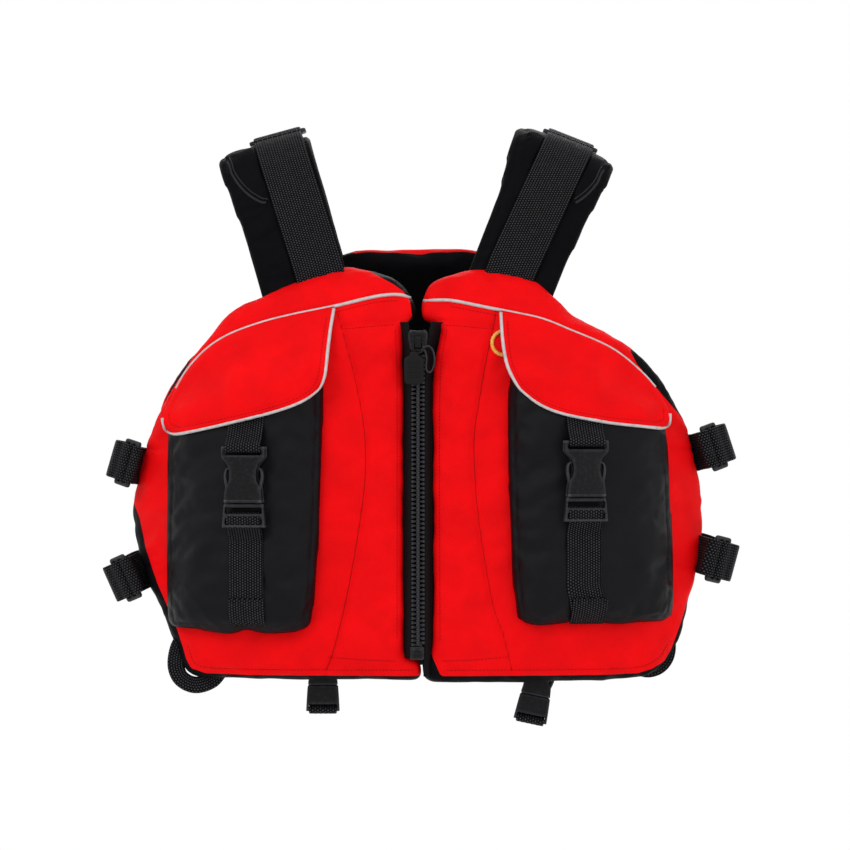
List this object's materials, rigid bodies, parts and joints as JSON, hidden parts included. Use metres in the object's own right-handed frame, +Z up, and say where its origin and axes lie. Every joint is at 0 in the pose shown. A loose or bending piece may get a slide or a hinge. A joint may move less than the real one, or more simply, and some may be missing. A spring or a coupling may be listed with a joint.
{
  "type": "life jacket",
  "caption": "Foam-filled paddling life jacket with a front zip, flapped pockets, padded shoulder straps, side adjusters and crotch-strap buckles.",
  "frame": {"origin": "midway between the undersides of the two shoulder straps' crowns, where they rest on the wearer's shoulders", "axes": "+Z up, front faces -Y, +X is the wearer's left"},
  "size_m": [0.6318, 0.2425, 0.6078],
  "materials": {
    "red_cloth": "plain-weave coated nylon",
    "black_cloth": "plain-weave nylon",
    "pocket_cloth": "fine coated nylon with a soft sheen",
    "webbing": "ribbed polypropylene webbing",
    "piping": "light grey reflective piping",
    "zip_tape": "woven tape",
    "foam": "closed-cell foam",
    "plastic": "satin moulded",
    "zip_plastic": "satin moulded",
    "pull_rubber": "matte",
    "ring_cord": "orange-gold moulded ring"
  },
  "bodies": {
    "back": {"back_cover": "red_cloth", "back_foam": "foam", "back_lining": "black_cloth", "left_shoulder_pad_back": "black_cloth", "right_shoulder_pad_back": "black_cloth", "left_shoulder_webbing_back": "webbing", "right_shoulder_webbing_back": "webbing", "shoulder_triglides": "plastic", "left_side_webbing": "webbing", "right_side_webbing": "webbing"},
    "zip_slider": {"zip_slider": "zip_plastic"},
    "zip_pull": {"zip_pull": "pull_rubber"},
    "gear_ring": {"gear_ring": "ring_cord"},
    "front_left": {"left_front_cover": "red_cloth", "left_front_foam": "foam", "left_front_lining": "black_cloth", "left_yoke_piping": "piping", "left_zip_tape": "zip_tape", "left_zip_teeth": "zip_plastic", "left_pocket": "pocket_cloth", "left_pocket_strap_upper": "webbing", "left_pocket_strap_lower": "webbing", "left_pocket_buckle_female": "plastic", "left_shoulder_pad_front": "black_cloth", "left_shoulder_webbing_front": "webbing", "left_side_tabs": "webbing", "left_crotch_strap": "webbing", "left_crotch_buckle_female": "plastic", "left_hem_loop": "webbing", "zip_pin": "zip_plastic", "ring_tab": "webbing"},
    "flap_left": {"left_flap": "red_cloth", "left_flap_piping": "piping"},
    "pocket_buckle_left": {"left_pocket_buckle_male": "plastic"},
    "crotch_buckle_left": {"left_crotch_buckle_male": "plastic"},
    "upper_lock_left": {"left_upper_ladder_lock": "plastic"},
    "lower_lock_left": {"left_lower_ladder_lock": "plastic"},
    "front_right": {"right_front_cover": "red_cloth", "right_front_foam": "foam", "right_front_lining": "black_cloth", "right_yoke_piping": "piping", "right_zip_tape": "zip_tape", "right_zip_teeth": "zip_plastic", "right_pocket": "pocket_cloth", "right_pocket_strap_upper": "webbing", "right_pocket_strap_lower": "webbing", "right_pocket_buckle_female": "plastic", "right_shoulder_pad_front": "black_cloth", "right_shoulder_webbing_front": "webbing", "right_side_tabs": "webbing", "right_crotch_strap": "webbing", "right_crotch_buckle_female": "plastic", "right_hem_loop": "webbing", "zip_box": "zip_plastic"},
    "flap_right": {"right_flap": "red_cloth", "right_flap_piping": "piping"},
    "pocket_buckle_right": {"right_pocket_buckle_male": "plastic"},
    "crotch_buckle_right": {"right_crotch_buckle_male": "plastic"},
    "upper_lock_right": {"right_upper_ladder_lock": "plastic"},
    "lower_lock_right": {"right_lower_ladder_lock": "plastic"}
  },
  "joints": [
    {"name": "left_front_open", "type": "hinge", "parent": "back", "child": "front_left", "pos_m": [0.15838, 0, 0.02125], "axis": [-0.2591, 0, 0.9659], "range_deg": [0, 55], "deforming": ["left_side_webbing"]},
    {"name": "left_flap_open", "type": "hinge", "parent": "front_left", "child": "flap_left", "pos_m": [0.084, -0.112, -0.15743], "axis": [-0.877, -0.1215, 0.4649], "range_deg": [0, 95]},
    {"name": "left_pocket_buckle_release", "type": "slide", "parent": "front_left", "child": "pocket_buckle_left", "axis": [0, 0, -1], "range_m": [0, 0.036], "deforming": ["left_pocket_strap_lower"]},
    {"name": "left_crotch_buckle_release", "type": "slide", "parent": "front_left", "child": "crotch_buckle_left", "axis": [-0.1392, 0, -0.9903], "range_m": [0, 0.025], "deforming": ["left_crotch_strap"]},
    {"name": "left_lower_lock_tilt", "type": "hinge", "parent": "front_left", "child": "lower_lock_left", "pos_m": [0.29229, -0.05259, -0.41843], "axis": [0, 0, -1], "range_deg": [0, 25]},
    {"name": "left_upper_lock_tilt", "type": "hinge", "parent": "front_left", "child": "upper_lock_left", "pos_m": [0.29229, -0.05259, -0.31643], "axis": [0, 0, -1], "range_deg": [0, 25]},
    {"name": "right_front_open", "type": "hinge", "parent": "back", "child": "front_right", "pos_m": [-0.15838, 0, 0.02125], "axis": [-0.2591, 0, -0.9659], "range_deg": [0, 55], "deforming": ["right_side_webbing"]},
    {"name": "right_flap_open", "type": "hinge", "parent": "front_right", "child": "flap_right", "pos_m": [-0.084, -0.112, -0.15743], "axis": [-0.877, 0.1215, -0.4649], "range_deg": [0, 95]},
    {"name": "right_pocket_buckle_release", "type": "slide", "parent": "front_right", "child": "pocket_buckle_right", "axis": [0, 0, -1], "range_m": [0, 0.036], "deforming": ["right_pocket_strap_lower"]},
    {"name": "right_crotch_buckle_release", "type": "slide", "parent": "front_right", "child": "crotch_buckle_right", "axis": [0, 0, -1], "range_m": [0, 0.025], "deforming": ["right_crotch_strap"]},
    {"name": "right_lower_lock_tilt", "type": "hinge", "parent": "front_right", "child": "lower_lock_right", "pos_m": [-0.29229, -0.05259, -0.41843], "axis": [0, 0, 1], "range_deg": [0, 25]},
    {"name": "right_upper_lock_tilt", "type": "hinge", "parent": "front_right", "child": "upper_lock_right", "pos_m": [-0.29229, -0.05259, -0.31643], "axis": [0, 0, 1], "range_deg": [0, 25]},
    {"name": "zip_slide", "type": "slide", "parent": "front_right", "child": "zip_slider", "axis": [0, 0, -1], "range_m": [0, 0.292]},
    {"name": "zip_pull_swing", "type": "hinge", "parent": "zip_slider", "child": "zip_pull", "pos_m": [0, -0.11415, -0.18893], "axis": [-1, 0, 0], "range_deg": [0, 140]},
    {"name": "gear_ring_swing", "type": "hinge", "parent": "front_left", "child": "gear_ring", "pos_m": [0.086, -0.10913, -0.17643], "axis": [-1, 0, 0], "range_deg": [0, 55]}
  ]
}
